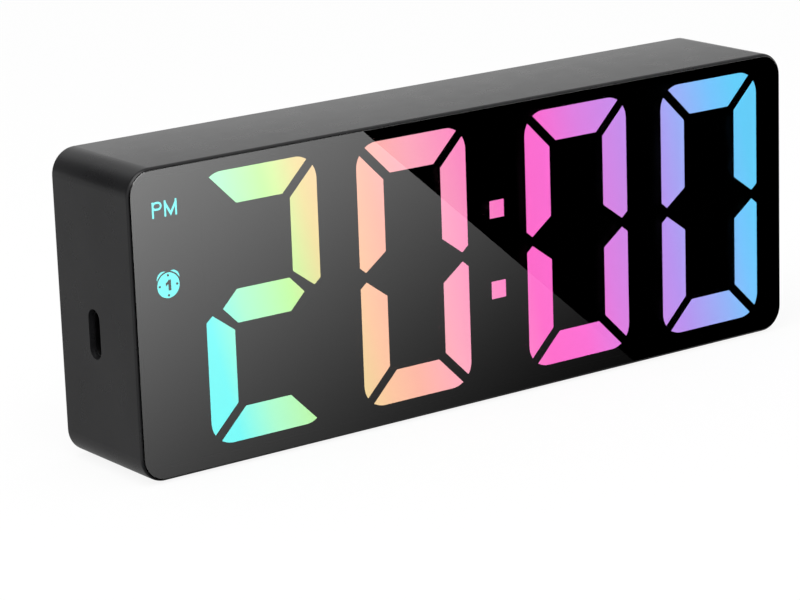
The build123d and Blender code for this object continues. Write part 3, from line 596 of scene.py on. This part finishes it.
def plus_sign(shape, at):
    """A small square whose four edges are pushed out."""
    middle = flat(shape, 4, SIGN_LINE, SIGN_LINE, at, SQUARE)
    arms = []
    for edge in list(middle[0].edges):
        way = (edge.verts[0].co + edge.verts[1].co) / 2 - Vector(at)
        arm = bmesh.ops.extrude_edge_only(shape, edges=[edge])["geom"]
        reach = way.normalized() * (SIGN_SIZE - SIGN_LINE) / 2
        bmesh.ops.translate(shape, vec=reach, verts=only(bmesh.types.BMVert, arm))
        arms += only(bmesh.types.BMFace, arm)
    return middle + arms


def minus_sign(shape, at):
    """One bar."""
    return flat(shape, 4, SIGN_SIZE, SIGN_LINE, at, SQUARE)


shape = bmesh.new()
for name, z in zip(springs, cell_heights):
    spring_side = 1 if middle_of(name, 0) > bay_middle else -1
    aside = spring_side * (OUTLINE_LENGTH / 2 - SIGN_INSET)
    cell = flat(shape, 4, OUTLINE_LENGTH, OUTLINE_HEIGHT, (bay_middle, bay_floor, z), SQUARE)
    lift(shape, border(shape, cell, OUTLINE_LINE), SIGN_HEIGHT, SIGN_SOFTEN)
    lift(shape, minus_sign(shape, (bay_middle + aside, bay_floor, z)), SIGN_HEIGHT, SIGN_SOFTEN)
    lift(shape, plus_sign(shape, (bay_middle - aside, bay_floor, z)), SIGN_HEIGHT, SIGN_SOFTEN)
piece("bay_signs", shape, case_plastic, "case")
print("bay floor found at", round(bay_floor / MM, 2), "mm, signs for", len(springs), "cells")

# %% [markdown]
# ### Gold strips in the inlet
#
# A USB-C inlet has a thin tongue with twelve gold-plated strips on each face. They are what the eye finds when it
# looks into the slot, so they are made one by one, on both faces.

# %% Inlet strips
STRIPS, STRIP_PITCH, STRIP_WIDTH, STRIP_LENGTH = 12, 0.5 * MM, 0.26 * MM, 3.0 * MM
STRIP_THICKNESS, STRIP_SOFTEN, STRIP_INSET = 0.03 * MM, 0.008 * MM, 0.3 * MM
TONGUE_THICKNESS = 0.7 * MM
contact_gold = plated("contact_gold", (0.72, 0.46, 0.16), (0.82, 0.56, 0.24), 0.26)
tongue_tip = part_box("usb_insulator")[0][0]
tongue_y, tongue_z = middle_of("usb_insulator", 1), middle_of("usb_insulator", 2)
shape = bmesh.new()
for face in (-1, 1):
    for i in range(STRIPS):
        x = tongue_tip + STRIP_INSET + STRIP_LENGTH / 2
        z = tongue_z + (i - (STRIPS - 1) / 2) * STRIP_PITCH
        on_tongue = (x, tongue_y + face * TONGUE_THICKNESS / 2, z)
        outline = flat(shape, 4, STRIP_LENGTH, STRIP_WIDTH, on_tongue, SQUARE)
        lift(shape, outline, face * STRIP_THICKNESS, STRIP_SOFTEN)
piece("inlet_strips", shape, contact_gold, "case")
print(2 * STRIPS, "gold strips in the inlet")

# %% [markdown]
# ### Battery springs
#
# The CAD springs have their rising turns alone. A real one ends in a flat turn that seats on its plate, and in
# another that presses on the cell. A spring could be a curve with a round bevel. Spin makes it as well: it sweeps a
# small circle about an axis and climbs with each step, first level, then rising, then level again. A last move
# narrows it to a cone.

# %% Battery springs
WIRE, BASE_RADIUS, TIP_RADIUS = 0.5 * MM, 3.2 * MM, 1.8 * MM
STEPS_A_TURN, WIRE_SIDES = 32, 10
FLAT_TURN, RISING_TURNS = 0.75, 4
spring_wire = plated("spring_wire", (0.5, 0.49, 0.47), (0.66, 0.65, 0.62), 0.3)


def coil(shape, height):
    """A conical spring along +Z, with its base at the origin."""
    ring_place = Matrix.Translation((BASE_RADIUS, 0, WIRE / 2)) @ Matrix.Rotation(math.radians(90), 4, "X")
    ring = bmesh.ops.create_circle(shape, segments=WIRE_SIDES, radius=WIRE / 2, matrix=ring_place)["verts"]
    end = ring + list({edge for vert in ring for edge in vert.link_edges})
    climb = (height - WIRE) / (RISING_TURNS * STEPS_A_TURN)
    for turns, rise in ((FLAT_TURN, 0.0), (RISING_TURNS, climb), (FLAT_TURN, 0.0)):
        sweep = {"angle": math.tau * turns, "steps": round(turns * STEPS_A_TURN), "dvec": (0, 0, rise)}
        end = bmesh.ops.spin(shape, geom=end, axis=(0, 0, 1), **sweep)["geom_last"]
    bmesh.ops.holes_fill(shape, edges=[edge for edge in shape.edges if edge.is_boundary], sides=0)
    for vert in shape.verts:
        share = min(max((vert.co.z - WIRE / 2) / (height - WIRE), 0.0), 1.0)
        outward = Vector((vert.co.x, vert.co.y, 0)).normalized()
        vert.co -= outward * (BASE_RADIUS - TIP_RADIUS) * share


for name, z in zip(springs, cell_heights):
    low, high = (Vector(corner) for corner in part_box(name))
    way = -1 if middle_of(name, 0) > bay_middle else 1
    shape = bmesh.new()
    coil(shape, high.x - low.x)
    seat = Vector((low.x if way > 0 else high.x, middle_of("negative_contact", 1), z))
    lie = Matrix.Translation(seat) @ Matrix.Rotation(math.radians(90 * way), 4, "Y")
    bmesh.ops.transform(shape, matrix=lie, verts=shape.verts)
    made = piece(name.replace("spring", "coil"), shape, spring_wire, "case", smooth=True)
    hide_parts(name)
print(len(springs), "battery springs of", FLAT_TURN * 2 + RISING_TURNS, "turns")

# %% [markdown]
# ## Camera
#
# The camera stands at the front left and a little above the clock, as in the photograph, with a long lens that
# keeps the digits from tapering. It is placed by the point that it looks at, so each number has a plain meaning.

# %% Camera
TURN, DROP, ROLL = math.radians(36), math.radians(15), math.radians(-2)
DISTANCE, FOCAL_LENGTH = 632 * MM, 147
TARGET_X, TARGET_Z = -20 * MM, 25 * MM
lens_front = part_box("front_lens")[0][1]
target = Vector((TARGET_X, lens_front, TARGET_Z))
ahead = Vector((math.sin(TURN) * math.cos(DROP), math.cos(TURN) * math.cos(DROP), -math.sin(DROP)))
eye = target - ahead * DISTANCE
camera_data = bpy.data.cameras.new("camera")
camera_data.lens = FOCAL_LENGTH
camera = bpy.data.objects.new("camera", camera_data)
bpy.context.collection.objects.link(camera)
look = ahead.to_track_quat("-Z", "Y").to_matrix().to_4x4()
camera.matrix_world = Matrix.Translation(eye) @ look @ Matrix.Rotation(ROLL, 4, "Z")
bpy.context.scene.camera = camera
print("camera at", [round(c / MM) for c in eye], "mm")

# %% [markdown]
# ## Floor and room
#
# A black glossy thing shows hardly any colour of its own: it shows the room. So the room is made of a few plain
# parts, as in a studio. The floor comes first: it is pale and takes the shadow. To the camera it is nearly plain
# white.

# %% Floor
bpy.context.scene.view_settings.view_transform = "Standard"


def stage_sheet(name, corners, material):
    """A flat sheet of the studio, which isn't part of the clock."""
    shape = bmesh.new()
    shape.faces.new([shape.verts.new(corner) for corner in corners])
    mesh = bpy.data.meshes.new(name)
    shape.to_mesh(mesh)
    shape.free()
    mesh.materials.append(material)
    made = bpy.data.objects.new(name, mesh)
    bpy.context.collection.objects.link(made)
    return made


WHITE = (1, 1, 1, 1)
FLOOR_REACH = 6.0
FLOOR_DROP = 0.02 * MM  # keeps the floor from lying in one plane with the pads
FLOOR_GREY, FLOOR_ROUGH = (0.86, 0.86, 0.86, 1), 0.9
PLAIN_WHITE, PLAIN_SHARE = 1.05, 0.85  # the rest of what the camera sees keeps the shadow
floor_paint, shader = finish("floor_paint", FLOOR_ROUGH, Base_Color=FLOOR_GREY)
tree = floor_paint.node_tree
white = node(tree, "Emission", WHITE, PLAIN_WHITE)
share = math_of(tree, "MULTIPLY", node(tree, "LightPath").outputs["Is Camera Ray"], PLAIN_SHARE)
both = node(tree, "MixShader", share, shader.outputs[0], white.outputs[0])
tree.links.new(both.outputs[0], tree.nodes["Material Output"].inputs["Surface"])
square = [(x * FLOOR_REACH, y * FLOOR_REACH, -FLOOR_DROP) for x, y in ((-1, -1), (1, -1), (1, 1), (-1, 1))]
floor = stage_sheet("floor", square, floor_paint)
floor.visible_glossy = floor.visible_transmission = False
print("floor reaches", FLOOR_REACH, "m")

# %% [markdown]
# The room is a world that answers by direction. The wall behind is grey towards the right, where the top of the
# clock mirrors it, and dark at the left, which draws the dark line along the rounded edge. In front the room is
# dark at eye level, as if hung with black cloth, so the lens stays black. It is lighter high up and far to the
# sides, where only the top and the ends of the clock look. Reflections see all this, and soft light is the same all
# round.

# %% Room
AMBIENT, WALL, GROUND, ENDS, HIGH_FRONT = 0.5, 0.48, 0.34, 0.6, 0.45
world = bpy.data.worlds.new("room")
bpy.context.scene.world = world
world.use_nodes = True
tree = world.node_tree
way = node(tree, "SeparateXYZ", node(tree, "TexCoord").outputs["Generated"]).outputs
rays = node(tree, "LightPath").outputs


def between(number, start, end, low=0.0, high=1.0):
    """A soft step of a direction's number."""
    return node(tree, "MapRange", number, start, end, low, high, interpolation_type="SMOOTHSTEP").outputs[0]


wall = between(way[0], -0.45, 0.0, 0.0, WALL)
above_floor = between(way[2], -0.15, 0.1)
behind = node(tree, "Mix", above_floor, None, GROUND, wall).outputs[0]
ends = between(math_of(tree, "ABSOLUTE", way[0]), 0.85, 0.97, 0.0, ENDS)
in_front = math_of(tree, "MAXIMUM", between(way[2], 0.02, 0.3, 0.0, HIGH_FRONT), ends)
mirrored = node(tree, "Mix", between(way[1], 0.1, 0.55), None, in_front, behind).outputs[0]
step = math_of(tree, "SUBTRACT", mirrored, AMBIENT)
mirroring = math_of(tree, "MAXIMUM", rays["Is Glossy Ray"], rays["Is Transmission Ray"])
level = math_of(tree, "MULTIPLY_ADD", mirroring, step, AMBIENT)
level = math_of(tree, "MAXIMUM", level, rays["Is Camera Ray"])
tree.links.new(grey(tree, level), tree.nodes["Background"].inputs["Color"])
print("room made, ambient", AMBIENT)

# %% [markdown]
# ## Softboxes
#
# One large lamp above gives the soft shadow. A small lamp or a sun would draw hard ones, and a hot spot on the
# case, so it is a square of more than a metre, as wide as a photographer's softbox.

# %% Lamp
KEY_PLACE, KEY_SIZE, KEY_WATTS = (-0.5, -0.4, 1.1), 1.2, 9.0
LAMP_AIM = Vector((0, 0, 30 * MM))


def softbox(name, at, size, watts):
    """A square lamp that faces the clock."""
    lamp = bpy.data.lights.new(name, "AREA")
    lamp.size, lamp.energy = size, watts
    made = bpy.data.objects.new(name, lamp)
    made.location = at
    made.rotation_euler = (LAMP_AIM - Vector(at)).to_track_quat("-Z", "Y").to_euler()
    bpy.context.collection.objects.link(made)
    print(name, "lamp of", watts, "W")


softbox("key", KEY_PLACE, KEY_SIZE, KEY_WATTS)

# %% [markdown]
# The grey sheen on the left of the lens, with its slanted edge, is a second softbox that stands in front, out of
# the camera's sight. The lens works as a mirror, so the place of that softbox follows from the camera: seen from
# the camera's mirror image behind the lens, it has to cover that corner. It is a sheet that glows, and only
# reflections see it, so it adds no light of its own to the case.

# %% Mirrored softbox
BLACK = (0, 0, 0, 1)
CARD_DISTANCE, CARD_STRENGTH, SCREEN_GAMMA = 900 * MM, 7.0, 2.2
CARD_CORNERS = [(-90, 70), (-39.2, 70), (51.3, -10), (-90, -10)]  # millimetres on the lens, as it mirrors them
CARD_BRIGHT, CARD_DIM = (-80, 60), (40, 0)
BRIGHT_TONE, DIM_TONE, FALL = 0.509, 0.281, 0.239  # screen tones, left to right, and their fall on the way down
card_y = lens_front - CARD_DISTANCE
mirror_eye = Vector((eye.x, 2 * lens_front - eye.y, eye.z))
growth = (mirror_eye.y - card_y) / (mirror_eye.y - lens_front)


def seen_at(x, z):
    """The place on the softbox that the lens mirrors at a point of its own face, given in millimetres."""
    return mirror_eye + (Vector((x * MM, lens_front, z * MM)) - mirror_eye) * growth


def mirrored_only(made):
    """Hides a sheet from everything but reflections."""
    made.visible_camera = made.visible_diffuse = made.visible_shadow = made.visible_transmission = False


card_paint, shader = finish("card_paint", Base_Color=BLACK, Emission_Strength=CARD_STRENGTH)
tree = card_paint.node_tree
_, axes = place(tree)
bright, dim = seen_at(*CARD_BRIGHT), seen_at(*CARD_DIM)
across = node(tree, "MapRange", axes[0], bright.x, dim.x, BRIGHT_TONE, DIM_TONE, clamp=False).outputs[0]
down = node(tree, "MapRange", axes[2], bright.z, dim.z, 0.0, FALL, clamp=False).outputs[0]
tone = math_of(tree, "SUBTRACT", across, down)
glow = math_of(tree, "POWER", math_of(tree, "MAXIMUM", tone, 0.0), SCREEN_GAMMA)
tree.links.new(grey(tree, glow), shader.inputs["Emission Color"])
card_paint.cycles.emission_sampling = "NONE"
mirrored_only(stage_sheet("card", [seen_at(x, z) for x, z in CARD_CORNERS], card_paint))
print("softbox stands", round(CARD_DISTANCE / MM), "mm in front of the lens")

# %% [markdown]
# The top of the clock is darker towards the front. A reflection changes that much over 27 mm only if what it shows
# is near, so a narrow strip of light stands just behind the clock, brightest at its foot. Only reflections see it.

# %% Strip of light behind the top
BACK_GAP, BACK_HEIGHT, BACK_FOOT, BACK_STRENGTH = 15 * MM, 14 * MM, 6 * MM, 0.5
BACK_FADE, BACK_LEFT, BACK_RIGHT = 20 * MM, 60 * MM, 200 * MM  # its soft left end, and its reach past the clock
case_low, case_high = (Vector(corner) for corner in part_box("case_shell"))
foot, head = case_high.z - BACK_FOOT, case_high.z + BACK_HEIGHT
strip_paint, _ = finish("strip_paint")
tree = strip_paint.node_tree
_, axes = place(tree)
fade = node(tree, "MapRange", axes[2], case_high.z, head, BACK_STRENGTH, 0.0, clamp=False).outputs[0]
soft_end = node(tree, "MapRange", axes[0], case_low.x - BACK_FADE, case_low.x + BACK_FADE, 0.0, 1.0).outputs[0]
light = node(tree, "Emission", WHITE, math_of(tree, "MULTIPLY", fade, soft_end))
clear = node(tree, "BsdfTransparent")
both = node(tree, "AddShader", clear.outputs[0], light.outputs[0])
tree.links.new(both.outputs[0], tree.nodes["Material Output"].inputs["Surface"])
strip_paint.cycles.emission_sampling = "NONE"
start, stop = case_low.x - BACK_LEFT, case_high.x + BACK_RIGHT
corners = [(start, foot), (stop, foot), (stop, head), (start, head)]
mirrored_only(stage_sheet("strip", [(x, case_high.y + BACK_GAP, z) for x, z in corners], strip_paint))
print("strip stands", round(BACK_GAP / MM), "mm behind the clock")

# %% [markdown]
# From behind, the black back would show only its outline. A photographer lays a white sheet behind it, and the back
# mirrors that. Its left edge runs slantwise, just clear of what the left side mirrors from the main camera.

# %% Sheet behind the clock
SHEET_CORNERS = [(-50, 20), (500, 20), (500, 900), (-552, 900)]  # millimetres on the floor
SHEET_LIFT, SHEET_NEAR, SHEET_FAR = 0.05 * MM, 0.95, 0.5
FADE_START, FADE_END = 20 * MM, 300 * MM
sheet_paint, shader = finish("sheet_paint", Base_Color=BLACK, Emission_Strength=1.0)
tree = sheet_paint.node_tree
_, axes = place(tree)
glow = node(tree, "MapRange", axes[1], FADE_START, FADE_END, SHEET_NEAR, SHEET_FAR).outputs[0]
tree.links.new(grey(tree, glow), shader.inputs["Emission Color"])
sheet_paint.cycles.emission_sampling = "NONE"
mirrored_only(stage_sheet("sheet", [(x * MM, y * MM, SHEET_LIFT) for x, y in SHEET_CORNERS], sheet_paint))
print("white sheet behind the clock")
